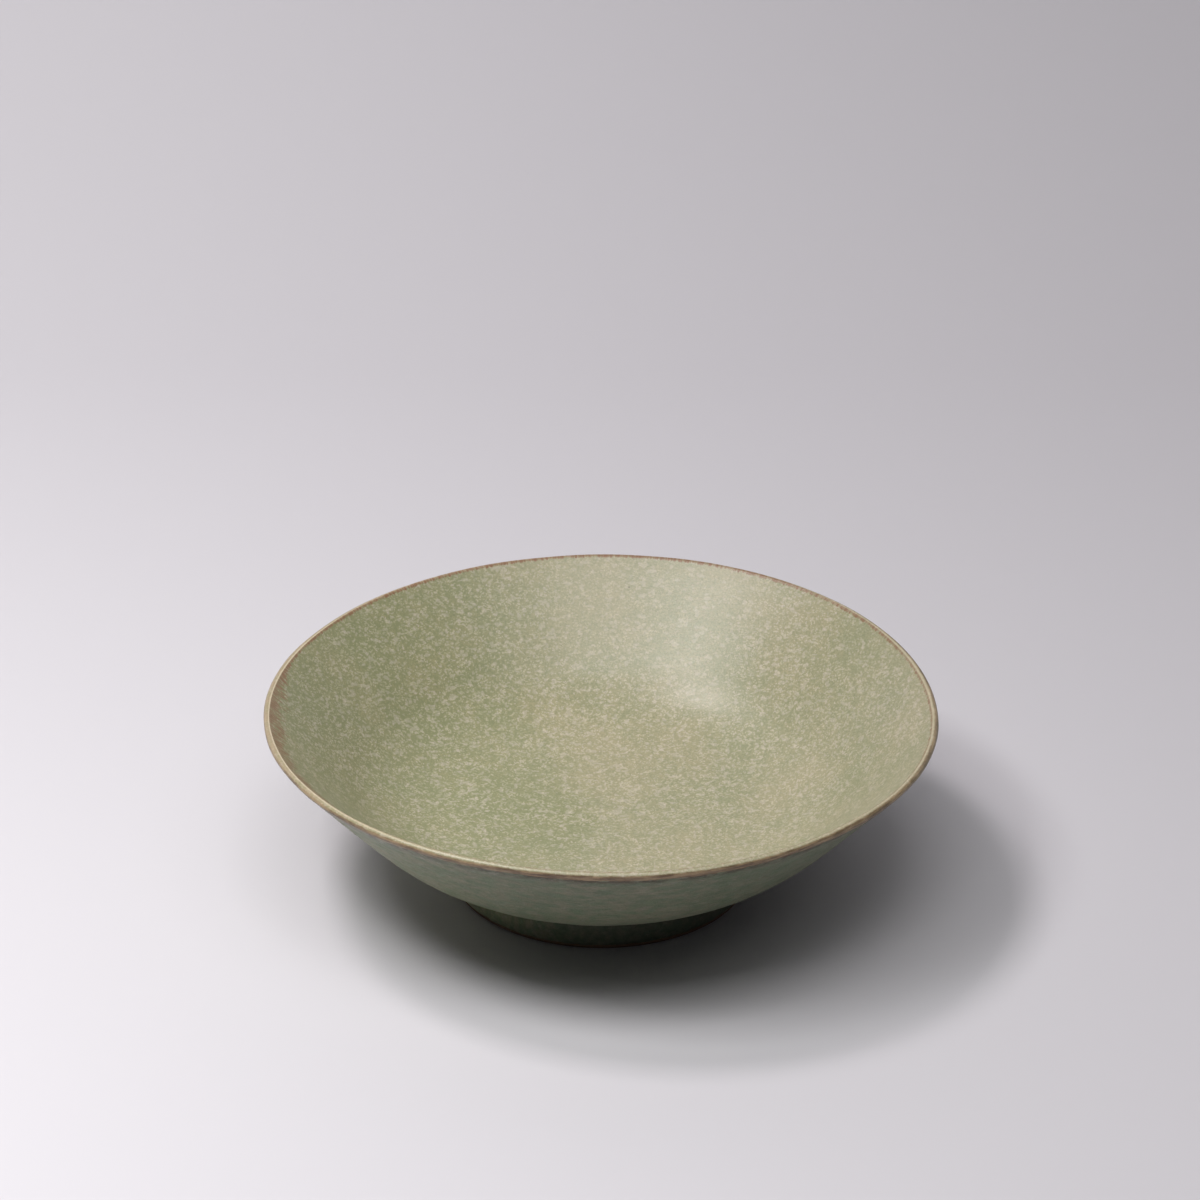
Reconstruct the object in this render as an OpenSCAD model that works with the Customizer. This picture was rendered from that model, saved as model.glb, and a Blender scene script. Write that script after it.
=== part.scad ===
// Wide, shallow tea bowl: a thrown stoneware bowl luted to a turned foot ring,
// under one satin glaze with an iron-brown band over the lip.
// The origin is the centre of the foot's contact ring, with +Z up the bowl's axis.

/* [Bowl] */
// Diameter over the glazed rim
rim_d = 165; // [135:1:200]
// Height from the table to the top of the glazed lip
bowl_h = 47.7; // [39:0.1:60]
// Slope of the wall where it leaves the flat base, in degrees
underside_slope = 17.5; // [12:0.5:24]
// Length of the straight stretch of the outer wall below the lip
outer_straight = 27; // [20:1:34]
// Thickness of the clay at the lip
lip_t = 1.1; // [0.8:0.1:1.6]

/* [Inside] */
// Thickness of the clay in the middle of the floor
floor_t = 4.2; // [3:0.1:6]
// How far the floor's edge lies inside the edge of the base
floor_inset = 1; // [0:0.5:6]
// Slope of the floor at its edge, in degrees
floor_slope = 7; // [4:1:10]
// Length of the straight stretch of the inner wall below the lip
inner_straight = 28; // [20:1:34]

/* [Foot] */
// Outer diameter of the bare foot ring where it stands
foot_d = 74; // [60:1:90]
// Height of the bowl's flat base above the table
foot_h = 9.9; // [8:0.1:14]
// Width of the foot ring where it stands
foot_w = 5; // [4:0.5:8]
// Draft of both walls of the foot ring, in degrees
foot_draft = 3; // [0:1:8]
// Radius of the sponged edges of the contact face
foot_edge_r = 0.8; // [0.4:0.1:1.2]
// How far the flat base stands out past the foot's contact diameter
base_overhang = 1.5; // [1:0.5:5]

/* [Luting slip] */
// Thickness of the slip between the base and the foot ring
slip_t = 0.4; // [0.2:0.1:1]
// Radius of the cove of slip outside the foot ring
outer_cove_r = 2.5; // [1.5:0.5:3.5]
// Radius of the cove of slip inside the foot ring
inner_cove_r = 3; // [1.5:0.5:4]

/* [Glaze] */
// Thickness of the fired glaze
glaze_t = 0.35; // [0.2:0.05:0.6]
// Height of the bare clay left above the contact face
bare_h = 1.2; // [1:0.1:2]
// Reach of the brown band down the outer wall, from the lip's round
band_out = 5; // [2:0.5:10]
// Reach of the brown band down the inner wall, from the lip's round
band_in = 3; // [2:0.5:10]

/* [Hidden] */
$fn = 180;
// Largest step of slope along a sweeping arc of the section and along a small round
sweep_step = 3;
round_step = 15;

// The section is drawn in [r, z]. A surface that faces the slope angle a has the outward
// normal facing(a): 0 faces down, 90 out, 180 up and -90 in towards the axis.
function facing(a) = [sin(a), -cos(a)];
// The direction of travel along that surface, a quarter turn on from its normal
function along(a) = [cos(a), sin(a)];

// Points of an arc about c that turns from a0 to a1. Its radius is positive where the clay
// is convex and negative where it is hollow, so a coat of thickness o adds o to either. The
// points between the ends are at whole steps, so that arcs of one circle share them.
function arc(c, radius, a0, a1, o, step) =
    let (s = a1 > a0 ? step : -step,
         between = [for (k = [floor(a0 / s) + 1:1:ceil(a1 / s) - 1]) k * s])
    [for (a = concat([a0], between, [a1])) c + (radius + o) * facing(a)];

// The arc that leaves the point from at the slope a and runs on, tangent, into a straight
// stretch that ends at the point to. Gives [radius, slope of the straight stretch, centre].
function sweep(from, a, to, straight) =
    let (span = to - from,
         ahead = span * along(a),
         rise = -span * facing(a),
         turn = 2 * atan2(rise, ahead + straight),
         radius = (ahead - straight * cos(turn)) / sin(turn))
    [radius, a + turn, from - radius * facing(a)];

// Lip: the centre of its round, and the radius of the clay
lip_r = lip_t / 2;
lip_c = [rim_d / 2 - lip_r - glaze_t, bowl_h - lip_r - glaze_t];

// Outer wall, from the edge of the flat base to the lip
base_r = foot_d / 2 + base_overhang;
belly = sweep([base_r, foot_h] - lip_r * facing(underside_slope), underside_slope, lip_c,
    outer_straight);
belly_r = belly[0] + lip_r;
wall_slope = belly[1];
belly_c = belly[2];

// Inner wall, from the edge of the floor to the lip, and the dished floor
floor_r = base_r - floor_inset;
dish_r = floor_r / sin(floor_slope);
dish_c = [0, foot_h + floor_t + dish_r];
hollow = sweep(dish_c + (dish_r + lip_r) * facing(floor_slope), floor_slope, lip_c,
    inner_straight);
hollow_r = hollow[0] - lip_r;
inner_slope = hollow[1];
hollow_c = hollow[2];

// Foot ring: the centres of the two sponged edges, and the walls that rise from them
out_face = 90 - foot_draft;
in_face = foot_draft - 90;
out_edge_c = [foot_d / 2 - foot_edge_r, foot_edge_r];
in_edge_c = [foot_d / 2 - foot_w + foot_edge_r, foot_edge_r];

// Point at the height z on the foot's outer or inner wall, under a coat of thickness o
function out_wall(z, o) =
    let (p = out_edge_c + (foot_edge_r + o) * facing(out_face))
    p + along(out_face) * (z - p[1]) / along(out_face)[1];
function in_wall(z, o) =
    let (p = in_edge_c + (foot_edge_r + o) * facing(in_face))
    p + along(in_face) * (z - p[1]) / along(in_face)[1];

// Outer cove: tangent to the foot's outer wall and to the belly
cove_from = out_edge_c + (foot_edge_r + outer_cove_r) * facing(out_face) - belly_c;
cove_mid = cove_from * along(out_face);
cove_reach = belly_r + outer_cove_r;
cove_c = belly_c + cove_from - along(out_face) * (cove_mid
    + sqrt(cove_mid * cove_mid - cove_from * cove_from + cove_reach * cove_reach));
cove_slope = asin((cove_c - belly_c)[0] / cove_reach);

// Inner cove: tangent to the foot's inner wall and to the flat base
well_line = in_edge_c + (foot_edge_r + inner_cove_r) * facing(in_face);
well_c = well_line
    + along(in_face) * (foot_h - inner_cove_r - well_line[1]) / along(in_face)[1];

// Stretches of the section, each drawn under a coat of thickness o
function outer_cove(o) = arc(cove_c, -outer_cove_r, out_face, cove_slope, o, round_step);
function inner_cove(o) = arc(well_c, -inner_cove_r, in_face, 0, o, round_step);
function belly_span(a0, a1, o) = arc(belly_c, belly_r, a0, a1, o, sweep_step);
function lip(o) = arc(lip_c, lip_r, wall_slope, 180 + inner_slope, o, round_step);
function inner_wall(o) = concat(
    arc(hollow_c, -hollow_r, 180 + inner_slope, 180 + floor_slope, o, sweep_step),
    arc(dish_c, -dish_r, 180 + floor_slope, 180, o, sweep_step));
// Where the brown band ends on the outer and on the inner wall
function band_low(o) =
    [lip_c + (lip_r + o) * facing(wall_slope) - band_out * along(wall_slope)];
function band_high(o) =
    [lip_c + (lip_r + o) * facing(180 + inner_slope) - band_in * along(inner_slope)];

function reversed(points) = [for (i = [len(points) - 1:-1:0]) points[i]];

// The outline of a coat between its clay side and its glazed face
function coat(clay_side, face) = concat(clay_side, reversed(face));

// The turned solid of an outline in [r, z]
module turned(outline) {
    rotate_extrude() polygon(outline);
}

// Thrown bowl of stoneware: flat base, wall and round lip
module bowl_body() {
    color("#8a6a4c")
        turned(concat([[0, foot_h]], belly_span(underside_slope, wall_slope, 0), lip(0),
            inner_wall(0)));
}

// Turned ring, bare on the face that it stands on
module foot_ring() {
    top = foot_h - slip_t;
    color("#7d5f45")
        turned(concat(
            [in_wall(top, 0)],
            arc(in_edge_c, foot_edge_r, in_face, 0, 0, round_step),
            arc(out_edge_c, foot_edge_r, 0, out_face, 0, round_step),
            [out_wall(top, 0)]));
}

// Slip that lutes the ring to the base, with the coves that it is smoothed into
module luting_slip() {
    top = foot_h - slip_t;
    color("#93765a")
        turned(concat(
            [in_wall(top, 0), out_wall(top, 0)],
            outer_cove(0),
            belly_span(cove_slope, underside_slope, 0),
            reversed(inner_cove(0))));
}

// Speckled green coat of the hollow
module inside_glaze() {
    color("#9ea684")
        turned(coat(concat(band_high(0), inner_wall(0)),
            concat(band_high(glaze_t), inner_wall(glaze_t))));
}

// The same glaze over the outer wall and the foot's outer wall
module outside_glaze() {
    function path(o) = concat([out_wall(bare_h, o)], outer_cove(o),
        belly_span(cove_slope, wall_slope, o), band_low(o));
    color("#8d9776")
        turned(coat(path(0), path(glaze_t)));
}

// Iron-brown band over the lip
module rim_glaze() {
    function path(o) = concat(band_low(o), lip(o), band_high(o));
    color("#8b7350")
        turned(coat(path(0), path(glaze_t)));
}

// Glaze of the well inside the foot ring
module foot_well_glaze() {
    function path(o) = concat([in_wall(bare_h, o)], inner_cove(o), [[0, foot_h - o]]);
    color("#8a9474")
        turned(coat(path(0), path(glaze_t)));
}

bowl_body();
foot_ring();
luting_slip();
inside_glaze();
outside_glaze();
rim_glaze();
foot_well_glaze();
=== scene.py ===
# Wide tea bowl of thrown stoneware, under a crystalline green glaze that breaks to brown on the lip.
import math
import bpy
import numpy as np
from mathutils import Matrix, Vector


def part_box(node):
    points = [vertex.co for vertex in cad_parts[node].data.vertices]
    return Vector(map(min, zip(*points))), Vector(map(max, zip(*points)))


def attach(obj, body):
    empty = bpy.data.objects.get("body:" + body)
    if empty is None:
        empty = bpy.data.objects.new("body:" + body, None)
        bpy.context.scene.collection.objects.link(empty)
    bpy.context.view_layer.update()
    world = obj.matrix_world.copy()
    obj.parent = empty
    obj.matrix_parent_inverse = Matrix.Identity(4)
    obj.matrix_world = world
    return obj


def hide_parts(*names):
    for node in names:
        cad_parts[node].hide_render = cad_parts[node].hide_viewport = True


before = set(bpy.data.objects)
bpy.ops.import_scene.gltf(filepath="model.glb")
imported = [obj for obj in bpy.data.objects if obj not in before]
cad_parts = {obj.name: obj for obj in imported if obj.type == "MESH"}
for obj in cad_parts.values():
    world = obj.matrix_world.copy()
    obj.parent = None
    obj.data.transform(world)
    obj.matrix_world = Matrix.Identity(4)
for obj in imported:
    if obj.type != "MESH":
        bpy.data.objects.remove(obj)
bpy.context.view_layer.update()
print("frame loaded")

mm = 0.001
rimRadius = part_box("rim_glaze")[1].x
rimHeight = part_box("rim_glaze")[1].z
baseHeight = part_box("bowl_body")[0].z      # flat base of the thrown bowl
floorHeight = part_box("inside_glaze")[0].z  # clay in the middle of the floor


# Camera and light

view = {
    "lens": 126,                        # mm
    "sensor": 36,                       # mm wide
    "place": (-0.006, -10.971, 6.497),  # in rim radii from the middle of the foot
    "pitch": 26.94,                     # degrees down from level
    "roll": 0.28,                       # degrees
}
studio = {
    # rectangles of light: place and aim in metres, size in metres, power in watts
    "window": {"place": (-0.40, -0.22, 0.70), "aim": (-0.9, -0.2, 0.0), "size": (0.25, 0.50),
               "power": 5.9},
    "front": {"place": (-0.113, -0.65, 1.403), "aim": (-0.056, -0.864, 0.0), "size": (0.957, 0.694),
              "power": 9.3},
    "fill": {"place": (0.5, -0.5, 1.2), "aim": (0.0, 0.0, 0.0), "size": (0.6, 0.6), "power": 1.4},
    "top": {"place": (-0.50, 0.13, 1.15), "aim": (0.0, 0.0, 0.0), "size": (0.24, 0.24), "power": 4.8,
            "colour": (1.0, 0.935, 0.965)},
    "lampColour": (1.0, 0.99, 0.995),
    "skyStrength": 0.030,
    "skyColour": (0.90, 0.93, 1.10),
    "distance": (0.42, 0.415, 0.43),    # seen past the paper's ends, and lights nothing
    "paper": (0.66, 0.65, 0.67),
    "curveStart": 0.308,                # where the paper leaves the table, behind the bowl
    "curveRadius": 0.33,
    "curvePoints": 49,
    "paperReach": 3.0,                  # how far the paper runs to each side and to the front
}


def addCamera():
    # looks along +Y, turned down by the pitch and rolled about its own axis
    camera = bpy.data.objects.new("camera", bpy.data.cameras.new("camera"))
    camera.data.lens = view["lens"]
    camera.data.sensor_width = view["sensor"]
    camera.data.clip_start = 0.02
    camera.data.clip_end = 20
    camera.matrix_world = (
        Matrix.Translation(Vector(view["place"]) * rimRadius)
        @ Matrix.Rotation(math.radians(90 - view["pitch"]), 4, "X")
        @ Matrix.Rotation(math.radians(view["roll"]), 4, "Z"))
    bpy.context.scene.collection.objects.link(camera)
    bpy.context.scene.camera = camera


def addLight(name, values):
    # a rectangle of light that faces its aim
    lamp = bpy.data.lights.new(name, "AREA")
    lamp.shape = "RECTANGLE"
    lamp.size, lamp.size_y = values["size"]
    lamp.energy = values["power"]
    lamp.color = values.get("colour", studio["lampColour"])
    light = bpy.data.objects.new(name, lamp)
    light.location = values["place"]
    towards = Vector(values["aim"]) - Vector(values["place"])
    light.rotation_euler = towards.to_track_quat("-Z", "Y").to_euler()
    bpy.context.scene.collection.objects.link(light)


def addSky():
    # a weak even sky lights the bowl, and the camera sees the plain distance in its place
    world = bpy.data.worlds.new("studio air")
    world.use_nodes = True
    nodes, links = world.node_tree.nodes, world.node_tree.links
    air = nodes["Background"]
    air.inputs["Color"].default_value = (*studio["skyColour"], 1)
    air.inputs["Strength"].default_value = studio["skyStrength"]
    distance = nodes.new("ShaderNodeBackground")
    distance.inputs["Color"].default_value = (*studio["distance"], 1)
    both = nodes.new("ShaderNodeMixShader")
    links.new(nodes.new("ShaderNodeLightPath").outputs["Is Camera Ray"], both.inputs[0])
    links.new(air.outputs[0], both.inputs[1])
    links.new(distance.outputs[0], both.inputs[2])
    links.new(both.outputs[0], nodes["World Output"].inputs["Surface"])
    bpy.context.scene.world = world


def addPaper():
    # a flat table that curves up into a wall: y = start + radius sin(a), z = radius (1 - cos(a))
    start, radius, reach = studio["curveStart"], studio["curveRadius"], studio["paperReach"]
    a = np.linspace(0, np.pi / 2, studio["curvePoints"])
    y = np.concatenate([[-reach], start + radius * np.sin(a), [start + radius]])
    z = np.concatenate([[0], radius * (1 - np.cos(a)), [radius + reach]])
    x = np.linspace(-reach, reach, 3)
    grid = np.stack(np.broadcast_arrays(x[:, None], y[None], z[None]), -1)
    row = len(y)
    i, j = np.meshgrid(np.arange(len(x) - 1), np.arange(row - 1), indexing="ij")
    corner = (i * row + j).ravel()
    faces = np.stack([corner, corner + row, corner + row + 1, corner + 1], -1)
    mesh = bpy.data.meshes.new("paper")
    mesh.from_pydata(grid.reshape(-1, 3).tolist(), [], faces.tolist())
    mesh.shade_smooth()
    paper = bpy.data.objects.new("paper", mesh)
    bpy.context.scene.collection.objects.link(paper)
    material = bpy.data.materials.new("paper")
    material.use_nodes = True
    shader = material.node_tree.nodes["Principled BSDF"]
    shader.inputs["Base Color"].default_value = (*studio["paper"], 1)
    shader.inputs["Roughness"].default_value = 0.9
    shader.inputs["Specular IOR Level"].default_value = 0.1
    # from behind the paper can be seen through, so that the bowl shows from every side
    nodes, links = material.node_tree.nodes, material.node_tree.links
    seen = nodes.new("ShaderNodeMixShader")
    links.new(nodes.new("ShaderNodeNewGeometry").outputs["Backfacing"], seen.inputs[0])
    links.new(shader.outputs[0], seen.inputs[1])
    links.new(nodes.new("ShaderNodeBsdfTransparent").outputs[0], seen.inputs[2])
    links.new(seen.outputs[0], nodes["Material Output"].inputs["Surface"])
    mesh.materials.append(material)


addCamera()
for name in ("window", "front", "fill", "top"):
    addLight(name + " light", studio[name])
addSky()
addPaper()
bpy.context.scene.view_settings.view_transform = "Standard"
print("camera and studio set")


# The turned section, in [r, z] and slopes. A surface at slope a has the outward normal
# facing(a) = (sin a, -cos a) and runs on along(a) = (cos a, sin a).

bowl = {
    "lipClay": 1.1 * mm,         # thickness of the clay at the lip
    "undersideSlope": 17.5,      # degrees, where the wall leaves the flat base
    "outerStraight": 27 * mm,    # straight stretch below the lip, outside
    "innerStraight": 28 * mm,    # and inside
    "floorInset": 1 * mm,        # floor's edge inside the base's edge
    "floorSlope": 7.0,           # degrees, at the floor's edge
}
foot = {
    "radius": 37 * mm,           # where it stands
    "width": 5 * mm,
    "draft": 3.0,                # degrees
    "edge": 0.8 * mm,            # radius of the sponged edges
    "overhang": 1.5 * mm,        # of the flat base past the foot
}
slip = {
    "thickness": 0.4 * mm,
    "outerCove": 2.5 * mm,
    "innerCove": 3 * mm,
}
glaze = {
    "thickness": 0.35 * mm,
    "bare": 1.2 * mm,            # clay left bare above the table
    "bandOut": 5 * mm,           # rim coat below the lip's round, outside
    "bandIn": 3 * mm,            # and inside
}


def facing(slope):
    # (sin slope, -cos slope), the outward normal
    return np.stack([np.sin(np.radians(slope)), -np.cos(np.radians(slope))], -1)


def along(slope):
    # (cos slope, sin slope), a quarter turn on from the normal
    return np.stack([np.cos(np.radians(slope)), np.sin(np.radians(slope))], -1)


def arc(centre, radius, first, last):
    # centre + radius facing(slope), at half-degree steps; a hollow arc has a negative radius
    slope = np.linspace(first, last, 2 + int(abs(last - first) * 2))
    return np.column_stack([centre + radius * facing(slope), slope])


def spot(r, z, slope):
    # a single point of a section
    return np.array([[r, z, slope]])


def sweep(start, slope, end, straight):
    # radius, last slope and centre of the arc that leaves start and runs into a straight stretch that
    # ends at end: turn = 2 atan(rise / (ahead + straight)),
    # radius = (ahead - straight cos(turn)) / sin(turn)
    span = end - start
    ahead, rise = span @ along(slope), -span @ facing(slope)
    turn = 2 * math.atan2(rise, ahead + straight)
    radius = (ahead - straight * math.cos(turn)) / math.sin(turn)
    return radius, slope + math.degrees(turn), start - radius * facing(slope)


lipRadius = bowl["lipClay"] / 2
lipCentre = np.array([rimRadius, rimHeight]) - lipRadius - glaze["thickness"]
baseRadius = foot["radius"] + foot["overhang"]
bellyRadius, wallSlope, bellyCentre = sweep(
    np.array([baseRadius, baseHeight]) - lipRadius * facing(bowl["undersideSlope"]),
    bowl["undersideSlope"], lipCentre, bowl["outerStraight"])
bellyRadius += lipRadius
dishRadius = (baseRadius - bowl["floorInset"]) / math.sin(math.radians(bowl["floorSlope"]))
dishCentre = np.array([0, floorHeight + dishRadius])
hollowRadius, innerSlope, hollowCentre = sweep(
    dishCentre + (dishRadius + lipRadius) * facing(bowl["floorSlope"]),
    bowl["floorSlope"], lipCentre, bowl["innerStraight"])
hollowRadius -= lipRadius
outFace, inFace = 90 - foot["draft"], foot["draft"] - 90
outEdge = np.array([foot["radius"] - foot["edge"], foot["edge"]])
inEdge = np.array([foot["radius"] - foot["width"] + foot["edge"], foot["edge"]])


def onLine(point, slope, height):
    # where the line through point at this slope reaches the height
    return point + along(slope) * (height - point[1]) / along(slope)[1]


def footWall(side, height, coat):
    # the point of the foot's outer or inner wall at this height, under a coat: on the line that touches
    # the sponged edge's circle, grown by the coat, at the wall's slope
    edge = outEdge if side == outFace else inEdge
    return spot(*onLine(edge + (foot["edge"] + coat) * facing(side), side, height), side)


def outerCoveCircle():
    # touches the foot's outer wall and the belly: |centre - bellyCentre| = belly radius + cove radius
    start = outEdge + (foot["edge"] + slip["outerCove"]) * facing(outFace) - bellyCentre
    middle = start @ along(outFace)
    reach = bellyRadius + slip["outerCove"]
    offset = start - along(outFace) * (middle + math.sqrt(middle ** 2 - start @ start + reach ** 2))
    return bellyCentre + offset, math.degrees(math.asin(offset[0] / reach))


coveCentre, coveSlope = outerCoveCircle()
wellCentre = onLine(inEdge + (foot["edge"] + slip["innerCove"]) * facing(inFace), inFace,
                    baseHeight - slip["innerCove"])


def lipAndInside(coat):
    # round the lip, down the hollow wall and across the dished floor to the axis
    return np.concatenate([
        arc(lipCentre, lipRadius + coat, wallSlope, 180 + innerSlope),
        arc(hollowCentre, coat - hollowRadius, 180 + innerSlope, 180 + bowl["floorSlope"]),
        arc(dishCentre, coat - dishRadius, 180 + bowl["floorSlope"], 180)])


def belly(first, coat):
    # the outer wall's arc, whose last slope is the straight stretch's
    return arc(bellyCentre, bellyRadius + coat, first, wallSlope)


def outerCove(coat):
    # the slip's hollow arc from the foot's outer wall to the belly
    return arc(coveCentre, coat - slip["outerCove"], outFace, coveSlope)


def innerCove(coat):
    # the slip's hollow arc from the flat base to the foot's inner wall
    return arc(wellCentre, coat - slip["innerCove"], 0, inFace)


def pathOf(*stretches):
    # points [r, z, slope] with the distance run along them from the first
    points = np.concatenate(stretches)
    run = np.concatenate([[0], np.cumsum(np.hypot(*np.diff(points[:, :2], axis=0).T))])
    return points, run


def onPath(path, run, height=0):
    # r + height sin(slope), z - height cos(slope) at the distance run
    points, distance = path
    r, z, slope = (np.interp(run, distance, column) for column in points.T)
    normal = facing(slope)
    return r + height * normal[..., 0], z + height * normal[..., 1]


# The glazed face from the bare foot over the lip to the middle of the floor. Its distance is counted
# from the lip's crest: below zero outside, above zero inside.
coat = glaze["thickness"]
facePoints, faceRun = pathOf(
    footWall(outFace, glaze["bare"], coat), outerCove(coat), belly(coveSlope, coat), lipAndInside(coat))
lipBand = (facePoints[:, 2] >= wallSlope) & (facePoints[:, 0] > lipCentre[0])
faceRun = faceRun - np.interp(180, facePoints[lipBand, 2], faceRun[lipBand])
facePath = facePoints, faceRun
faceStart, faceEnd = faceRun[0], faceRun[-1]
lipFace = lipRadius + coat
bandLow = -lipFace * math.radians(180 - wallSlope) - glaze["bandOut"]
bandHigh = lipFace * math.radians(innerSlope) + glaze["bandIn"]

# the glazed face of the well, from its middle to the bare edge inside the foot
wellPath = pathOf(spot(0, baseHeight - coat, 0), innerCove(coat), footWall(inFace, glaze["bare"], coat))
wellEnd = wellPath[1][-1]

# the foot ring from its inner to its outer top, round the face that it stands on
ringTop = baseHeight - slip["thickness"]
ringPath = pathOf(footWall(inFace, ringTop, 0), arc(inEdge, foot["edge"], inFace, 0),
                  arc(outEdge, foot["edge"], 0, outFace), footWall(outFace, ringTop, 0))


# What hand work adds to the true section

hand = {
    # the rim is a little out of true: how many swells round it, then the cosine and the sine part
    # of its reach and of its height, in mm
    "rimSwells": (
        (1, 0.0, 0.0, -0.02, -0.20),
        (2, -0.06, -0.02, -0.055, 0.295),
        (3, -0.095, -0.35, 0.0, -0.16),
        (4, -0.05, -0.02, -0.04, -0.045),
        (5, -0.04, -0.045, -0.03, -0.03),
        (6, -0.025, -0.06, -0.03, 0.045)),
    "ringPitch": 5.2 * mm,       # throwing rings
    "ringsOutside": 0.035 * mm,
    "ringsInside": 0.018 * mm,
    "ringsWell": 0.06 * mm,      # trimmed with a loop tool
    "glazeWaves": 0.04 * mm,     # glaze that lay thicker and thinner
    "edgeWander": 0.1 * mm,      # the wiped edge of the glaze above the foot
    "edgeRoll": 0.8 * mm,        # over which that edge rounds off
    "spongeLines": 0.02 * mm,    # round the bare face of the foot
    "spongePitch": 0.5 * mm,
    "wavesAdded": 14,            # in a smooth field, and how long its changes are in each use
    "ringsChange": 60 * mm,
    "glazeChange": 22 * mm,
    "edgeChange": 9 * mm,
    "spongeChange": 30 * mm,
    # where the rings fade out at the middle of the floor and of the well
    "floorFade": 12 * mm,
    "wellFade": 8 * mm,
}
seeds = {"rings": 3, "glaze": 4, "outsideEdge": 5, "wellEdge": 6, "sponge": 7}
rows = {
    # points of each section
    "outside": 130,
    "rim": 72,
    "inside": 160,
    "well": 90,
    "body": 150,
    "ring": 110,
    "edge": 9,                   # over a rolled edge
    "clay": 40,                  # of a coat's clay side
    "clayInside": 50,
    "slipOutside": 14,
    "slipUnder": 4,
    "slipWell": 16,
}
around = 384                     # columns of points round the bowl
angle = np.arange(around)[:, None] * 2 * np.pi / around


def waves(run, length, seed):
    # a smooth field that closes round the bowl: the sum of cos(k angle + m run + phase), k whole,
    # over the root of their count
    dice = np.random.default_rng(seed)
    count = hand["wavesAdded"]
    k = dice.integers(1, max(2, int(2 * np.pi * rimRadius / length)), count)
    m = dice.uniform(-1, 1, count) * 2 * np.pi / length
    phase = dice.uniform(0, 2 * np.pi, count)
    parts = (np.cos(k[one] * angle + m[one] * run + phase[one]) for one in range(count))
    return sum(parts) / math.sqrt(count)


def glazeRelief(run, rings):
    # rings sin(2 pi run / pitch + angle), a spiral that comes and goes, and slow waves of glaze
    spiral = np.sin(2 * np.pi * run / hand["ringPitch"] + angle) * (
        0.6 + 0.3 * waves(run, hand["ringsChange"], seeds["rings"]))
    return rings * spiral + hand["glazeWaves"] * waves(run, hand["glazeChange"], seeds["glaze"])


def wipedEdge(distance):
    # the glaze's face above the clay, less its thickness, where its edge rounds off:
    # thickness (sqrt(1 - (1 - d)^2) - 1) with d = distance / roll, from 0.02 to 1
    d = np.clip(distance / hand["edgeRoll"], 0.02, 1)
    return coat * (np.sqrt(1 - (1 - d) ** 2) - 1)


def warp(r, z):
    # r + share (sum of cosine and sine parts of each count of swells), and z likewise, where the share
    # is ((r - base) / (rim - base))^2, from nothing at the flat base, which stays true
    share = (np.clip(r - baseRadius, 0, None) / (rimRadius - baseRadius)) ** 2 * mm
    reach = sum(c * np.cos(k * angle) + s * np.sin(k * angle) for k, c, s, _, _ in hand["rimSwells"])
    height = sum(c * np.cos(k * angle) + s * np.sin(k * angle) for k, _, _, c, s in hand["rimSwells"])
    return r + share * reach, z + share * height


def everyColumn(values):
    # one row of values, or one for each column, as a full grid
    return np.broadcast_to(values, (around, np.shape(values)[-1]))


def turnedPiece(name, outline, hardRows, closed=True):
    # Point j of column t is (r cos t, r sin t, z). The outline (r, z, run) keeps the solid on its left,
    # and an open one starts and ends on the axis. The attribute "place" is (rim cos t, rim sin t, run).
    # An edge round the bowl along one of the hard rows is a sharp one.
    r, z, run = (everyColumn(values) for values in outline)
    r, z = warp(r, z)
    count = r.shape[1]
    point = np.stack([r * np.cos(angle), r * np.sin(angle), z], -1)
    place = np.stack([rimRadius * np.cos(angle) + 0 * run, rimRadius * np.sin(angle) + 0 * run, run], -1)
    j = np.arange(count) + np.zeros((around, 1), int)
    column = np.arange(around)[:, None]
    if closed:
        index = column * count + j
        keep = [array.reshape(-1, array.shape[-1]) for array in (point, place, j[..., None])]
    else:                        # one point at each end, shared by every column
        index = np.where(j == 0, 0, np.where(j == count - 1, 1, 2 + column * (count - 2) + j - 1))
        keep = [np.concatenate([array[0, [0, -1]], array[:, 1:-1].reshape(-1, array.shape[-1])])
                for array in (point, place, j[..., None])]
    beside = np.roll(index, -1, 0)
    quads = np.stack([index, beside, np.roll(beside, -1, 1), np.roll(index, -1, 1)], -1)
    if closed:
        faces = quads.reshape(-1, 4).tolist()
    else:
        faces = (quads[:, 1:-2].reshape(-1, 4).tolist() + quads[:, 0][:, [0, 2, 3]].tolist()
                 + quads[:, -2][:, [0, 1, 2]].tolist())
    mesh = bpy.data.meshes.new(name)
    mesh.from_pydata(keep[0].tolist(), [], faces)
    mesh.attributes.new("place", "FLOAT_VECTOR", "POINT").data.foreach_set(
        "vector", keep[1].astype(np.float32).ravel())
    mesh.shade_smooth()
    ends = np.zeros(len(mesh.edges) * 2, np.int32)
    mesh.edges.foreach_get("vertices", ends)
    endRows = keep[2].ravel()[ends.reshape(-1, 2)]
    hard = (endRows[:, 0] == endRows[:, 1]) & np.isin(endRows[:, 0], np.array(hardRows) % count)
    mesh.attributes.new("sharp_edge", "BOOLEAN", "EDGE").data.foreach_set("value", hard)
    piece = bpy.data.objects.new(name, mesh)
    bpy.context.scene.collection.objects.link(piece)
    return piece


def glazedOutline(path, faceRuns, relief, clayRows=rows["clay"]):
    # the face, then its clay side a thickness below it, run back the other way
    r, z = onPath(path, faceRuns, relief)
    backRuns = faceRuns[:, :1] + (faceRuns[:, -1:] - faceRuns[:, :1]) * np.linspace(1, 0, clayRows)
    backR, backZ = onPath(path, backRuns, -coat)
    return (np.concatenate([r, backR], 1), np.concatenate([z, backZ], 1),
            np.concatenate([faceRuns, backRuns], 1))


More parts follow.
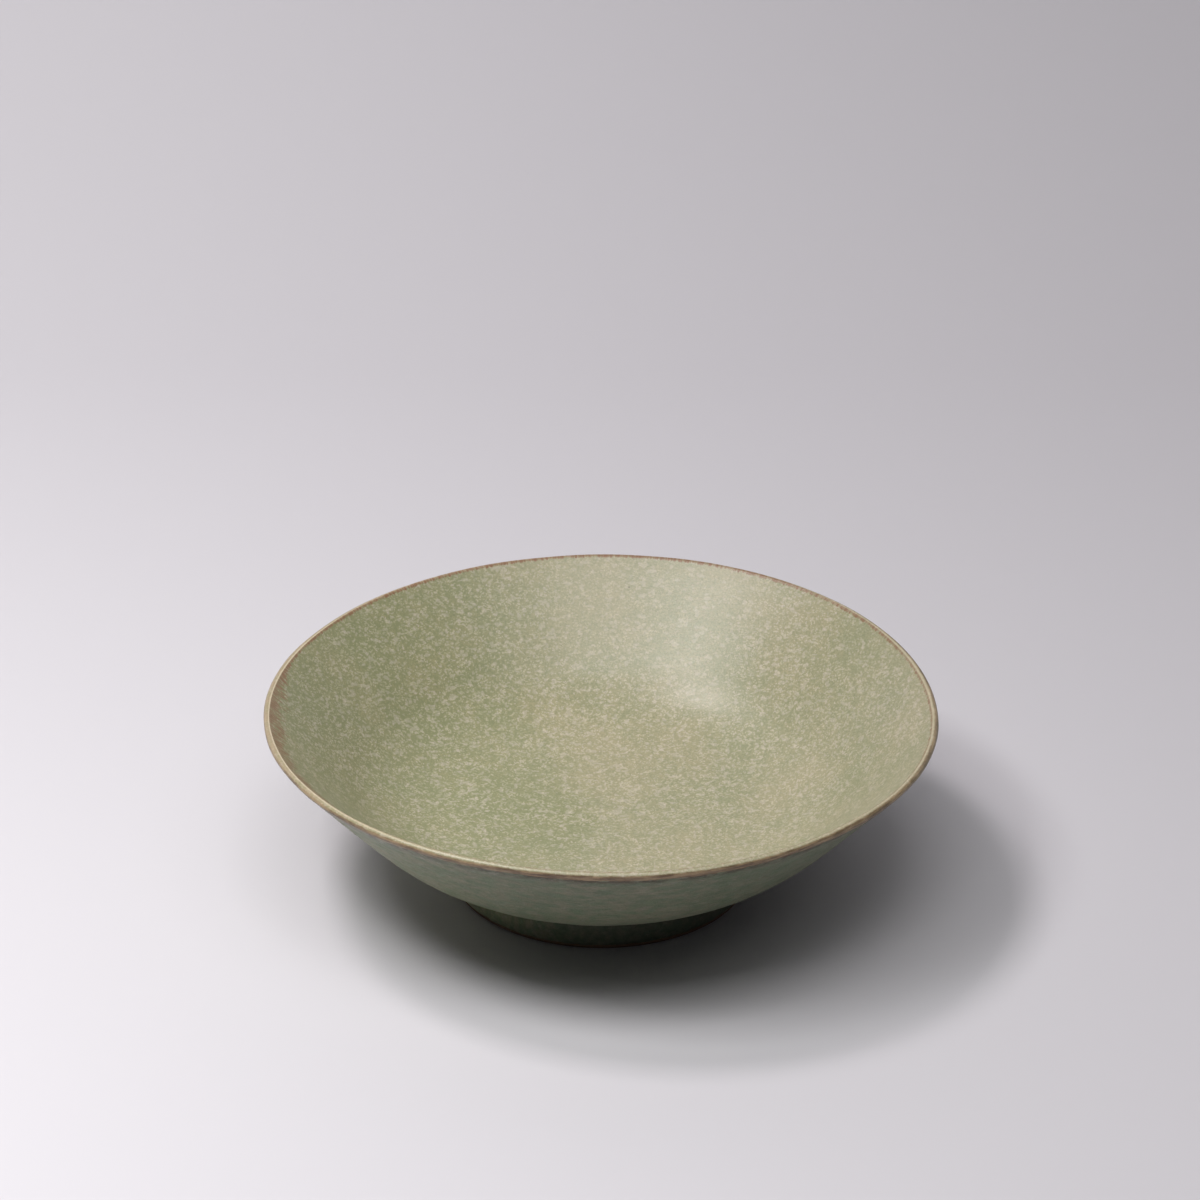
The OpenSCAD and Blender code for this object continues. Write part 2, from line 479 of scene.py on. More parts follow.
def between(first, last, count):
    # first + (last - first) share, with the share from 0 to 1, in every column: either end may differ
    # from column to column
    return np.asarray(first) + (np.asarray(last) - first) * np.linspace(0, 1, count) + 0 * angle


def outsideCoat():
    # from the wandering wiped edge above the foot up to the rim coat
    start = faceStart + hand["edgeWander"] * waves(0, hand["edgeChange"], seeds["outsideEdge"])
    fine = between(start, start + hand["edgeRoll"], rows["edge"])
    runs = np.concatenate([fine[:, :-1], between(fine[:, -1:], bandLow, rows["outside"])], 1)
    relief = glazeRelief(runs, hand["ringsOutside"]) + wipedEdge(runs - start)
    outline = glazedOutline(facePath, runs, relief)
    return turnedPiece("green_glaze_outside", outline, [0, runs.shape[1] - 1, runs.shape[1], -1])


def rimCoat():
    # over the lip, where the outer wall's rings give way to the inner wall's
    runs = between(bandLow, bandHigh, rows["rim"])
    swap = np.clip((runs - bandLow) / (bandHigh - bandLow), 0, 1)
    rings = hand["ringsOutside"] + (hand["ringsInside"] - hand["ringsOutside"]) * swap
    outline = glazedOutline(facePath, runs, glazeRelief(runs, rings))
    return turnedPiece("brown_glaze_on_lip", outline, [0, rows["rim"] - 1, rows["rim"], -1])


def insideCoat():
    # from the rim coat to the middle of the floor, turned round to run out along the clay side first
    face, clay = rows["inside"], rows["clayInside"]
    runs = between(bandHigh, faceEnd, face)
    calm = np.clip((faceEnd - runs) / hand["floorFade"], 0, 1)
    r, z, run = glazedOutline(facePath, runs, glazeRelief(runs, hand["ringsInside"]) * calm, clay)
    order = np.r_[face:face + clay, 0:face]
    outline = r[:, order], z[:, order], run[:, order]
    return turnedPiece("green_glaze_inside", outline, [clay - 1, clay], closed=False)


def wellCoat():
    # from the middle of the well to the wandering wiped edge inside the foot
    end = wellEnd - hand["edgeWander"] * waves(0, hand["edgeChange"], seeds["wellEdge"])
    coarse = between(0, end - hand["edgeRoll"], rows["well"])
    runs = np.concatenate([coarse[:, :-1], between(coarse[:, -1:], end, rows["edge"])], 1)
    calm = np.clip(runs / hand["wellFade"], 0, 1)
    relief = glazeRelief(runs, hand["ringsWell"]) * calm + wipedEdge(end - runs)
    outline = glazedOutline(wellPath, runs, relief)
    return turnedPiece("green_glaze_in_well", outline,
                       [runs.shape[1] - 1, runs.shape[1]], closed=False)


def thrownBody():
    # from the axis out over the flat base, up the belly, over the lip and in to the axis again
    wall = pathOf(belly(bowl["undersideSlope"], 0), lipAndInside(0))
    runs = between(0, wall[1][-1], rows["body"])
    r, z = onPath(wall, runs)
    base = np.zeros((around, 1))
    return turnedPiece("thrown_bowl", (np.concatenate([base, r], 1),
                                       np.concatenate([base + baseHeight, z], 1),
                                       np.concatenate([base, runs], 1)), [1], closed=False)


def footRing():
    # lines sin(2 pi run / pitch + waves), sunk into the face that the foot stands on
    runs = between(0, ringPath[1][-1], rows["ring"])
    stand = abs(runs - ringPath[1][-1] / 2) < foot["width"] / 2 - foot["edge"]
    drift = waves(runs, hand["spongeChange"], seeds["sponge"])
    lines = hand["spongeLines"] * np.sin(2 * np.pi * runs / hand["spongePitch"] + drift) * stand
    r, z = onPath(ringPath, runs, lines - hand["spongeLines"] * stand)
    return turnedPiece("turned_foot", (r, z, runs), [0, -1])


def lutingSlip():
    # from the foot's outer top up the outer cove, in under the belly and down the inner cove
    rise = pathOf(outerCove(0))
    under = pathOf(belly(bowl["undersideSlope"], 0))
    underEnd = np.interp(coveSlope, under[0][:, 2], under[1])
    well = pathOf(innerCove(0), footWall(inFace, ringTop, 0))
    corner = footWall(outFace, ringTop, 0)
    stretches = [(corner[:, 0] + 0 * angle, corner[:, 1] + 0 * angle),
                 onPath(rise, between(0, rise[1][-1], rows["slipOutside"])),
                 onPath(under, between(underEnd, 0, rows["slipUnder"])[:, 1:]),
                 onPath(well, between(0, well[1][-1], rows["slipWell"]))]
    r = np.concatenate([part[0] for part in stretches], 1)
    z = np.concatenate([part[1] for part in stretches], 1)
    riseEnd = rows["slipOutside"]
    underLast = riseEnd + rows["slipUnder"] - 1
    return turnedPiece("slip_joint", (r, z, 0 * r), [0, riseEnd, underLast, underLast + 1, -1])


pieces = {
    "outside_glaze": outsideCoat(),
    "rim_glaze": rimCoat(),
    "inside_glaze": insideCoat(),
    "foot_well_glaze": wellCoat(),
    "bowl_body": thrownBody(),
    "foot_ring": footRing(),
    "luting_slip": lutingSlip(),
}
print("pieces turned:", {name: len(piece.data.polygons) for name, piece in pieces.items()})


# Shader building

def add(tree, kind, values=None, **settings):
    # one node; a value that is another node's socket is linked, and any other is set
    node = tree.nodes.new("ShaderNode" + kind)
    for name, setting in settings.items():
        setattr(node, name, setting)
    for name, value in (values or {}).items():
        if isinstance(value, bpy.types.NodeSocket):
            tree.links.new(value, node.inputs[name])
        else:
            node.inputs[name].default_value = value
    return node


def sums(tree, operation, *values):
    # one step of arithmetic
    return add(tree, "Math", dict(enumerate(values)), operation=operation).outputs[0]


def fade(tree, value, first, last, low=0.0, high=1.0):
    # from low at first to high at last, with soft ends
    node = add(tree, "MapRange", {"Value": value, "From Min": first, "From Max": last,
                                  "To Min": low, "To Max": high}, interpolation_type="SMOOTHSTEP")
    return node.outputs["Result"]


def mixed(tree, share, first, second, blend="MIX"):
    # first + share (second - first), or what the blend makes of the two
    node = tree.nodes.new("ShaderNodeMix")
    node.data_type, node.blend_type = "RGBA", blend
    for slot, value in (("Factor_Float", share), ("A_Color", first), ("B_Color", second)):
        socket = next(one for one in node.inputs if one.identifier == slot)
        if isinstance(value, bpy.types.NodeSocket):
            tree.links.new(value, socket)
        elif isinstance(value, (int, float)):
            socket.default_value = value
        else:
            socket.default_value = (*value, 1)
    return next(one for one in node.outputs if one.identifier == "Result_Color")


def tinted(tree, colour, tint):
    # the product of the two
    return mixed(tree, 1.0, colour, tint, "MULTIPLY")


def stretched(tree, place, scale):
    # a pattern read at the place times the scale is drawn out along the axes whose scale is small
    return add(tree, "VectorMath", {0: place, 1: scale}, operation="MULTIPLY").outputs[0]


def noise(tree, place, size, detail=2.0, roughness=0.5):
    # values about 0.5, with features of that size
    return add(tree, "TexNoise", {"Vector": place, "Scale": 1 / size, "Detail": detail,
                                  "Roughness": roughness}).outputs


def newGroup(name, inputs, outputs):
    # a shader node group with float inputs (name: value), a vector "Place" and the named outputs
    group = bpy.data.node_groups.new(name, "ShaderNodeTree")
    group.interface.new_socket("Place", in_out="INPUT", socket_type="NodeSocketVector")
    for socket, value in inputs.items():
        made = group.interface.new_socket(socket, in_out="INPUT", socket_type="NodeSocketFloat")
        made.default_value = value
    for socket, kind in outputs.items():
        group.interface.new_socket(socket, in_out="OUTPUT", socket_type="NodeSocket" + kind)
    return group, group.nodes.new("NodeGroupInput").outputs, group.nodes.new("NodeGroupOutput")


def use(tree, group, values):
    # the outputs of a group placed here with these inputs
    return add(tree, "Group", values, node_tree=group).outputs


# Crystals: small slim flecks that lie in several directions

crystalForm = {
    "turns": (8, 44, 80, 116, 152),   # degrees, one layer of flecks for each
    "length": 1.6 * mm,
    "width": 0.62 * mm,
    "ragged": 0.3 * mm,          # how far the outlines wander
    "tilt": (0.3, 0.2),          # radians, of the layers' patterns out of level
    "least": 0.6,                # reach of the smallest fleck, as a share of Reach
    "spread": 0.7,               # and how much more the largest has
}


def crystalGroup():
    # in each layer a cell holds a fleck where its random number is under Cover, and the fleck's mask
    # falls from 1 to 0 over the distance from the cell's centre
    tree, given, out = newGroup("crystals", {"Cover": 0.4, "Reach": 0.5},
                                {"Crystal": "Float", "Tint": "Float"})
    rough = noise(tree, given["Place"], crystalForm["ragged"] * 2, 1.0)
    wander = add(tree, "VectorMath", {0: rough["Color"], 1: (0.5, 0.5, 0.5)}, operation="SUBTRACT")
    wander = add(tree, "VectorMath", {0: wander.outputs[0], "Scale": crystalForm["ragged"] * 2},
                 operation="SCALE")
    place = add(tree, "VectorMath", {0: given["Place"], 1: wander.outputs[0]}, operation="ADD")
    crystal, tint = 0.0, 0.0
    for turn in crystalForm["turns"]:
        local = add(tree, "Mapping", {"Vector": place.outputs[0], "Location": (turn * mm, 0, 0),
                                      "Rotation": (*crystalForm["tilt"], math.radians(turn)),
                                      "Scale": (crystalForm["length"], crystalForm["width"],
                                                crystalForm["width"])}, vector_type="TEXTURE")
        cell = add(tree, "TexVoronoi", {"Vector": local.outputs[0], "Scale": 1.0})
        parts = add(tree, "SeparateColor", {"Color": cell.outputs["Color"]}).outputs
        held = sums(tree, "LESS_THAN", parts["Red"], given["Cover"])
        size = sums(tree, "MULTIPLY_ADD", parts["Green"], crystalForm["spread"], crystalForm["least"])
        reach = sums(tree, "MULTIPLY", given["Reach"], size)
        inside = fade(tree, sums(tree, "DIVIDE", cell.outputs["Distance"], reach), 1.0, 0.5)
        fleck = sums(tree, "MULTIPLY", held, inside)
        crystal = sums(tree, "MAXIMUM", crystal, fleck)
        tint = sums(tree, "ADD", tint, sums(tree, "MULTIPLY", fleck, parts["Blue"]))
    tree.links.new(crystal, out.inputs["Crystal"])
    tree.links.new(tint, out.inputs["Tint"])
    return tree


# Iron specks: small dark round dots

# the few in the glaze, the loose ones below the brown of the lip, and the grit in the clay
fewSpecks = {"Spacing": 7 * mm, "Radius": 0.24 * mm, "Cover": 0.16}
looseSpecks = {"Spacing": 2.0 * mm, "Radius": 0.32 * mm, "Cover": 0.3}
gritSpecks = {"Spacing": 1.3 * mm, "Radius": 0.18 * mm, "Cover": 0.5}


def speckGroup():
    # a cell of Spacing holds a dot of 0.4 to 1.4 times Radius where its random number is under Cover
    tree, given, out = newGroup("iron specks", {"Spacing": 6 * mm, "Radius": 0.3 * mm, "Cover": 0.3},
                                {"Speck": "Float"})
    fine = sums(tree, "DIVIDE", 1.0, given["Spacing"])
    cell = add(tree, "TexVoronoi", {"Vector": given["Place"], "Scale": fine})
    parts = add(tree, "SeparateColor", {"Color": cell.outputs["Color"]}).outputs
    distance = sums(tree, "MULTIPLY", cell.outputs["Distance"], given["Spacing"])
    radius = sums(tree, "MULTIPLY", given["Radius"], sums(tree, "MULTIPLY_ADD", parts["Green"], 1.0, 0.4))
    inside = fade(tree, sums(tree, "DIVIDE", distance, radius), 1.1, 0.5)       # 1 in the dot, 0 outside
    held = sums(tree, "LESS_THAN", parts["Red"], given["Cover"])
    tree.links.new(sums(tree, "MULTIPLY", inside, held), out.inputs["Speck"])
    return tree


# The lip: where the glaze thins over the clay's edge it turns brown, with peach between and a cream line
# on the crest that is partly pale glaze and partly painted highlight

lip = {
    # distances in mm inwards from the crest, at the front, back, left and right of the bowl
    "innerFrom": (-0.05, -0.5, 0.60, 0.78),
    "innerTo": (0.45, 0.75, 1.1, 1.25),
    "innerShare": (0.75, 1.0, 0.85, 0.8),
    # and outwards
    "outerFrom": (1.05, 0.6, 0.85, 0.0),
    "outerTo": (3.0, 2.9, 2.9, 2.6),
    "outerShare": (0.9, 0.9, 0.64, 0.66),
    # where the cream line runs and how strong it is: partly pale glaze, partly painted highlight,
    # strongest on the left
    "creamHighlightFrom": (0.40, 0.1, -0.60, -0.70),
    "creamHighlightTo": (0.95, 0.3, -0.24, -0.22),
    "creamHighlightShare": (0.12, 0.2, 0.9, 0.36),
    "paleShare": (0.1, 0.4, 0.85, 0.45),
    # loose brown flecks, beyond the brown on the left
    "fleckFrom": 10.0,
    "fleckTo": 19.0,
    # where the stain outside goes from none to whole, from above and from below
    "stainIn": (1.2, 2.2),
    "stainOut": (7.5, 2.8),
    # on the left the brown inside runs deeper, by leftPatch mm times (leftSpikes of the spikes, plus
    # leftPatches of the patches, plus leftLeast)
    "left": (-0.946, -0.325),                # east and north parts of the direction of its middle
    "leftFrom": 0.80,                        # cosine of the angle from it where it starts
    "leftTo": 0.975,                         # and where it is whole
    "leftPatch": 3.4,
    "leftSpikes": 4.2,
    "leftPatches": 1.4,
    "leftLeast": 0.2,
}
lipNoise = {"spikes": 0.6 * mm, "patches": 5 * mm, "ripple": 1.6 * mm}
lipWander = {
    # mm that each line wanders over the range of its noise
    "innerFrom": 0.25,
    "innerTo": 1.4,
    "outerFrom": 0.5,
    "outerTo": 1.2,
    "creamHighlight": 0.3,
}
lipSoft = {
    # mm over which each line fades, to either side
    "innerFrom": 0.1,
    "innerTo": 0.14,
    "innerToLeft": 0.7,                      # more of it on the left
    "outer": 0.16,
    "pale": 0.12,
    "creamHighlight": 0.14,
    "flecks": 2.0,
}
lipMasks = ("Brown", "Fired", "CreamHighlight", "Pale", "Stain", "Outside", "Left")


def lipGroup():
    # Place is the attribute (rim cos t, rim sin t, distance). Four values, one for each side, are blended
    # with the squares of the direction's cosines as weights, which add up to 1.
    tree, given, out = newGroup("lip break", {}, dict.fromkeys(lipMasks, "Float"))
    axes = add(tree, "SeparateXYZ", {"Vector": given["Place"]}).outputs
    east = sums(tree, "DIVIDE", axes["X"], rimRadius)
    north = sums(tree, "DIVIDE", axes["Y"], rimRadius)
    inward = sums(tree, "DIVIDE", axes["Z"], mm)
    outward = sums(tree, "MULTIPLY", inward, -1.0)
    sides = [sums(tree, "POWER", sums(tree, "MAXIMUM", sums(tree, "MULTIPLY", axis, sign), 0.0), 2.0)
             for axis, sign in ((north, -1.0), (north, 1.0), (east, -1.0), (east, 1.0))]

    def round4(values):
        # the sum over the four sides of the squared cosine times the value
        total = 0.0
        for side, value in zip(sides, values):
            total = sums(tree, "MULTIPLY_ADD", side, value, total)
        return total

    def span(distance, first, last, soft):
        # 1 between first and last, 0 outside them
        return sums(tree, "MULTIPLY",
                    fade(tree, sums(tree, "SUBTRACT", distance, first), -soft, soft),
                    fade(tree, sums(tree, "SUBTRACT", distance, last), soft, -soft))

    downWall = stretched(tree, given["Place"], (1.0, 1.0, 0.2))
    spikes = noise(tree, downWall, lipNoise["spikes"], 2.0, 0.6)["Fac"]
    patches = noise(tree, given["Place"], lipNoise["patches"])["Fac"]
    ripple = noise(tree, given["Place"], lipNoise["ripple"])["Fac"]
    ragged = sums(tree, "SUBTRACT", spikes, 0.5)
    uneven = sums(tree, "SUBTRACT", ripple, 0.5)
    leftEast, leftNorth = lip["left"]
    facingLeft = sums(tree, "MULTIPLY_ADD", north, leftNorth, sums(tree, "MULTIPLY", east, leftEast))
    left = fade(tree, facingLeft, lip["leftFrom"], lip["leftTo"])

    # the line inside the crest, which runs down in spikes on the left
    start = sums(tree, "MULTIPLY_ADD", uneven, lipWander["innerFrom"], round4(lip["innerFrom"]))
    patch = sums(tree, "MULTIPLY", left, lip["leftPatch"])
    torn = sums(tree, "MULTIPLY_ADD", patches, lip["leftPatches"], lip["leftLeast"])
    deep = sums(tree, "MULTIPLY", patch, sums(tree, "MULTIPLY_ADD", ragged, lip["leftSpikes"], torn))
    reach = sums(tree, "MULTIPLY_ADD", ragged, lipWander["innerTo"], round4(lip["innerTo"]))
    reach = sums(tree, "ADD", reach, deep)
    soft = sums(tree, "MULTIPLY_ADD", left, lipSoft["innerToLeft"], lipSoft["innerTo"])
    inner = sums(tree, "MULTIPLY",
                 fade(tree, sums(tree, "SUBTRACT", inward, start), -lipSoft["innerFrom"],
                      lipSoft["innerFrom"]),
                 fade(tree, sums(tree, "DIVIDE", sums(tree, "SUBTRACT", inward, reach), soft), 1.0, -1.0))
    inner = sums(tree, "MULTIPLY", inner, sums(tree, "MULTIPLY", round4(lip["innerShare"]),
                                               fade(tree, spikes, 0.36, 0.62, 0.3, 1.0)))
    flecks = use(tree, specks, {"Place": given["Place"], **looseSpecks})
    loose = sums(tree, "MULTIPLY", sums(tree, "MULTIPLY", flecks["Speck"], left),
                 span(inward, lip["fleckFrom"], lip["fleckTo"], lipSoft["flecks"]))

    # the brown band outside the crest
    outerStart = sums(tree, "MULTIPLY_ADD", uneven, lipWander["outerFrom"], round4(lip["outerFrom"]))
    outerReach = sums(tree, "MULTIPLY_ADD", uneven, lipWander["outerTo"], round4(lip["outerTo"]))
    outer = sums(tree, "MULTIPLY", span(outward, outerStart, outerReach, lipSoft["outer"]),
                 round4(lip["outerShare"]))

    # the peach between the two browns, the cream line on the crest, partly pale glaze and partly painted
    # highlight, and the stain below the band
    pale = span(outward, sums(tree, "MULTIPLY", reach, -1.0), sums(tree, "ADD", outerStart, 0.3),
                lipSoft["pale"])
    pale = sums(tree, "MULTIPLY", pale, fade(tree, patches, 0.35, 0.6, 0.6, 1.0))
    creamHighlight = span(outward,
                 sums(tree, "MULTIPLY_ADD", uneven, lipWander["creamHighlight"], round4(lip["creamHighlightFrom"])),
                 sums(tree, "MULTIPLY_ADD", uneven, lipWander["creamHighlight"], round4(lip["creamHighlightTo"])),
                 lipSoft["creamHighlight"])
    stain = sums(tree, "MULTIPLY", fade(tree, outward, *lip["stainOut"]),
                 fade(tree, sums(tree, "MULTIPLY_ADD", uneven, 1.0, patches), 0.32, 0.58))
    masks = {
        "Brown": outer,
        "Fired": sums(tree, "MAXIMUM", inner, sums(tree, "MULTIPLY", loose, 0.7)),
        "CreamHighlight": sums(tree, "MULTIPLY", creamHighlight, round4(lip["creamHighlightShare"])),
        "Pale": sums(tree, "MULTIPLY", pale, round4(lip["paleShare"])),
        "Stain": sums(tree, "MULTIPLY", stain, fade(tree, outward, *lip["stainIn"])),
        "Outside": fade(tree, outward, 0.9, 2.0),
        "Left": fade(tree, east, 0.1, -1.0),
    }
    for name, value in masks.items():
        tree.links.new(value, out.inputs[name])
    return tree


crystals = crystalGroup()
specks = speckGroup()
lipBreak = lipGroup()


# Glaze and clay

glazeLook = {
    "green": (0.288, 0.304, 0.177),      # where the coat is thick
    "khaki": (0.398, 0.363, 0.227),
    "deep": (0.93, 0.93, 0.85),          # the left wall's share: partly a greener glaze, partly painted shade
    "crystal": (0.62, 0.575, 0.42),
    "pinkCrystal": (0.61, 0.545, 0.46),
    "speck": (0.09, 0.075, 0.05),
    "fired": (0.26, 0.145, 0.08),
    "brown": (0.13, 0.07, 0.036),
    "tan": (0.36, 0.245, 0.135),
    "peach": (0.385, 0.29, 0.18),
    "creamHighlight": (0.70, 0.615, 0.43),
    "stain": (0.055, 0.036, 0.02),
    "shade": (0.43, 0.485, 0.505),       # painted shade: the outer wall's share of each colour
    "shadeLeft": (0.72, 0.77, 0.82),     # less shade on the left: painted light from the lamps on that side
    "footShade": (0.60, 0.62, 0.62),          # and the painted shade low on the foot and in the well, of that
    # lighter on the left: painted light on the foot
    "footShadeLeft": (1.60, 1.55, 1.50),
    # what the darkest and the lightest of each pattern multiply the colour by
    "streaks": ((0.60, 0.64, 0.62), (1.40, 1.36, 1.38)),
    "mottle": ((0.80, 0.93, 0.87), (1.20, 1.07, 1.13)),
    "grain": ((0.62, 0.62, 0.62), (1.38, 1.38, 1.38)),
    "grainShare": 0.42,
}
glazeNoise = {
    "pools": 24 * mm,                    # thicker and thinner glaze
    "clouds": 3.2 * mm,
    "grain": 0.55 * mm,
    "streaks": 0.9 * mm,                 # on the outer wall
    "mottle": 2.4 * mm,
    "lines": 0.75 * mm,                  # in the brown
    "wrinkles": 0.42 * mm,
    "wrinkleDepth": 0.03 * mm,
}
glazeStretch = {
    # draws these out round the bowl
    "streaks": (0.3, 0.3, 1.0),
    "mottle": (0.55, 0.55, 1.0),
    "lines": (0.1, 0.1, 1.0),
}
# each one's part in how far the ground goes from green to khaki
depthOf = {"pools": 0.55, "clouds": 0.35, "grain": 0.55, "left": -0.12}
# large faint crystals under the small ones, with these shares of their cover and strength
blooms = {"scale": (0.5, 0.5, 0.5), "cover": 0.38, "strength": 0.62}
coats = {
    "inside": {"cover": 0.36, "strength": 0.55, "roughness": 0.33},
    "outside": {"cover": 0.40, "strength": 0.22, "roughness": 0.45},
    "rim": {"cover": 0.36, "strength": 0.50, "roughness": 0.36},
    "well": {"cover": 0.25, "strength": 0.2, "roughness": 0.45},
}
footTop = faceRun[1 + len(outerCove(coat))] / mm     # where the belly meets the cove over the foot


def newMaterial(name):
    # a material, its tree and its shader
    material = bpy.data.materials.new(name)
    material.use_nodes = True
    return material, material.node_tree, material.node_tree.nodes["Principled BSDF"]


def glazeMaterial(name, look):
    # from below: ground, crystals and specks, the painted shade of the outer wall and foot, the colours
    # of the lip, the grain
    material, tree, shader = newMaterial(name)
    at = add(tree, "TexCoord").outputs["Object"]
    place = add(tree, "Attribute", attribute_name="place").outputs["Vector"]
    edge = use(tree, lipBreak, {"Place": place})
    run = sums(tree, "DIVIDE", add(tree, "SeparateXYZ", {"Vector": place}).outputs["Z"], mm)
    pools = noise(tree, at, glazeNoise["pools"], 2.0, 0.55)["Fac"]
    clouds = noise(tree, at, glazeNoise["clouds"], 3.0, 0.6)["Fac"]
    grain = noise(tree, at, glazeNoise["grain"], 2.0, 0.6)["Fac"]
    depth = sums(tree, "ADD", sums(tree, "MULTIPLY", pools, depthOf["pools"]),
                 sums(tree, "MULTIPLY", clouds, depthOf["clouds"]))
    depth = sums(tree, "MULTIPLY_ADD", sums(tree, "SUBTRACT", grain, 0.5), depthOf["grain"], depth)
    # on the left the ground goes greener and darker: partly a greener glaze, partly painted shade
    depth = sums(tree, "MULTIPLY_ADD", edge["Left"], depthOf["left"], depth)
    ground = mixed(tree, fade(tree, depth, 0.2, 0.7), glazeLook["green"], glazeLook["khaki"])
    ground = mixed(tree, edge["Left"], ground, tinted(tree, ground, glazeLook["deep"]))

    # small crystals over large faint ones, then the iron specks
    flecks = use(tree, crystals, {"Place": at, "Cover": look["cover"], "Reach": 0.45})
    crystal = mixed(tree, fade(tree, flecks["Tint"], 0.2, 0.9), glazeLook["crystal"],
                    glazeLook["pinkCrystal"])
    amount = sums(tree, "MULTIPLY", flecks["Crystal"],
                  fade(tree, clouds, 0.3, 0.7, look["strength"] * 0.5, look["strength"]))
    amount = sums(tree, "MULTIPLY", amount, fade(tree, edge["Outside"], 0.0, 1.0, 1.0, 0.4))
    large = use(tree, crystals, {"Place": stretched(tree, at, blooms["scale"]),
                                 "Cover": look["cover"] * blooms["cover"], "Reach": 0.5})
    faint = sums(tree, "MULTIPLY", large["Crystal"], look["strength"] * blooms["strength"])
    colour = mixed(tree, faint, ground, glazeLook["pinkCrystal"])
    colour = mixed(tree, amount, colour, crystal)
    dots = use(tree, specks, {"Place": at, **fewSpecks})
    colour = mixed(tree, sums(tree, "MULTIPLY", dots["Speck"], 0.7), colour, glazeLook["speck"])

    # the outer wall gets painted shade, lighter on the left as painted light, with streaks and mottle
    # round the bowl, and the foot a deeper painted shade
    streaks = noise(tree, stretched(tree, place, glazeStretch["streaks"]),
                    glazeNoise["streaks"], 3.0, 0.6)["Fac"]
    mottle = noise(tree, stretched(tree, place, glazeStretch["mottle"]), glazeNoise["mottle"])["Fac"]
    mottle = fade(tree, mottle, 0.32, 0.68)
    lines = noise(tree, stretched(tree, place, glazeStretch["lines"]),
                  glazeNoise["lines"], 2.0, 0.6)["Fac"]
    # painted light: the outer wall's left side is kept lighter
    leftLight = sums(tree, "POWER", edge["Left"], 2.0)
    shaded = tinted(tree, colour, mixed(tree, leftLight, glazeLook["shade"], glazeLook["shadeLeft"]))
    shaded = tinted(tree, shaded, mixed(tree, streaks, *glazeLook["streaks"]))
    shaded = tinted(tree, shaded, mixed(tree, mottle, *glazeLook["mottle"]))
    # painted shade under the bowl's belly, on the glaze below footTop and in the well, lighter on the
    # left
    footShaded = tinted(tree, shaded, mixed(tree, edge["Left"], glazeLook["footShade"], glazeLook["footShadeLeft"]))
    shaded = mixed(tree, fade(tree, run, footTop + 0.6, footTop - 0.6), shaded, footShaded)
    # the well under the foot takes that painted shade all over
    if look is coats["well"]:
        colour = footShaded
    else:
        colour = mixed(tree, edge["Outside"], colour, shaded)
        colour = mixed(tree, sums(tree, "MULTIPLY", edge["Stain"], 0.9), colour, glazeLook["stain"])
        colour = mixed(tree, edge["Pale"], colour, glazeLook["peach"])
        # the cream line, partly painted highlight
        colour = mixed(tree, edge["CreamHighlight"], colour, glazeLook["creamHighlight"])
        colour = mixed(tree, edge["Fired"], colour, glazeLook["fired"])
        rusty = sums(tree, "MULTIPLY_ADD", clouds, 0.35, sums(tree, "MULTIPLY", lines, 0.65))
        rust = mixed(tree, fade(tree, rusty, 0.38, 0.62), glazeLook["brown"], glazeLook["tan"])
        colour = mixed(tree, edge["Brown"], colour, rust)
    grainy = mixed(tree, grain, *glazeLook["grain"])
    colour = mixed(tree, glazeLook["grainShare"], colour, grainy, "MULTIPLY")
    tree.links.new(colour, shader.inputs["Base Color"])
    tree.links.new(fade(tree, flecks["Crystal"], 0.0, 1.0, look["roughness"], look["roughness"] + 0.1),
                   shader.inputs["Roughness"])
    wrinkles = noise(tree, at, glazeNoise["wrinkles"], 2.0, 0.55)["Fac"]
    height = sums(tree, "MULTIPLY_ADD", flecks["Crystal"], 0.25, wrinkles)
    bump = add(tree, "Bump", {"Height": height, "Strength": 1.0, "Distance": glazeNoise["wrinkleDepth"]})
    tree.links.new(bump.outputs["Normal"], shader.inputs["Normal"])
    shader.inputs["Specular IOR Level"].default_value = 0.5
    return material


clayLook = {
    "body": (0.20, 0.125, 0.075),
    "pale": (0.30, 0.205, 0.13),
    "grog": (0.10, 0.06, 0.035),
    "toast": 14 * mm,                    # where the fire caught it
    "sand": 0.35 * mm,
    "sandDepth": 0.06 * mm,
}


def clayMaterial(name, pale):
    # toasted and paler clay with dark grit, the paler the higher the value
    material, tree, shader = newMaterial(name)
    at = add(tree, "TexCoord").outputs["Object"]
    toast = noise(tree, at, clayLook["toast"], 3.0, 0.6)["Fac"]
    sand = noise(tree, at, clayLook["sand"], 3.0, 0.65)["Fac"]
    colour = mixed(tree, fade(tree, toast, 0.5 - pale, 0.9 - pale), clayLook["body"], clayLook["pale"])
    grit = use(tree, specks, {"Place": at, **gritSpecks})
    colour = mixed(tree, sums(tree, "MULTIPLY", grit["Speck"], 0.7), colour, clayLook["grog"])
    colour = mixed(tree, 0.5, colour, mixed(tree, sand, (0.6, 0.6, 0.6), (1.4, 1.4, 1.4)), "MULTIPLY")
    tree.links.new(colour, shader.inputs["Base Color"])
    tree.links.new(fade(tree, sand, 0.2, 0.8, 0.75, 0.95), shader.inputs["Roughness"])
    bump = add(tree, "Bump", {"Height": sand, "Strength": 1.0, "Distance": clayLook["sandDepth"]})
    tree.links.new(bump.outputs["Normal"], shader.inputs["Normal"])
    return material


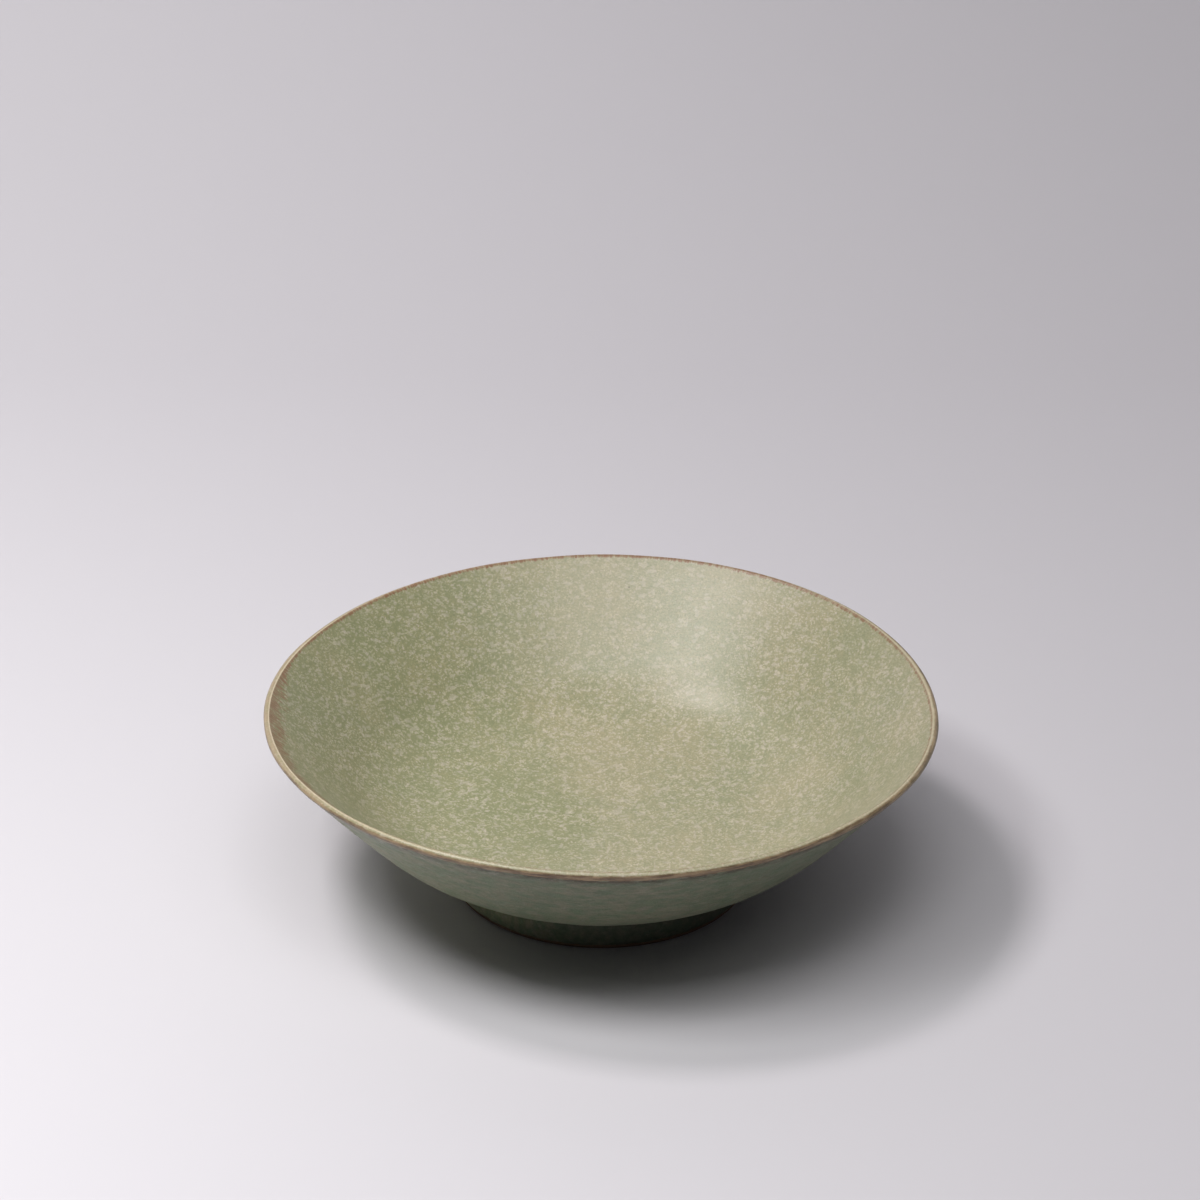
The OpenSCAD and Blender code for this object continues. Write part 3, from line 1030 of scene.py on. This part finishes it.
materials = {
    "inside_glaze": glazeMaterial("green crystal glaze inside", coats["inside"]),
    "outside_glaze": glazeMaterial("green crystal glaze outside", coats["outside"]),
    "rim_glaze": glazeMaterial("brown break on the lip", coats["rim"]),
    "foot_well_glaze": glazeMaterial("green crystal glaze in the well", coats["well"]),
    "bowl_body": clayMaterial("stoneware", 0.1),
    "foot_ring": clayMaterial("bare foot clay", 0.0),
    "luting_slip": clayMaterial("slip", 0.2),
}
for node, piece in pieces.items():
    piece.data.materials.append(materials[node])
    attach(piece, "root")
    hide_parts(node)
print("glazes and clays laid on")
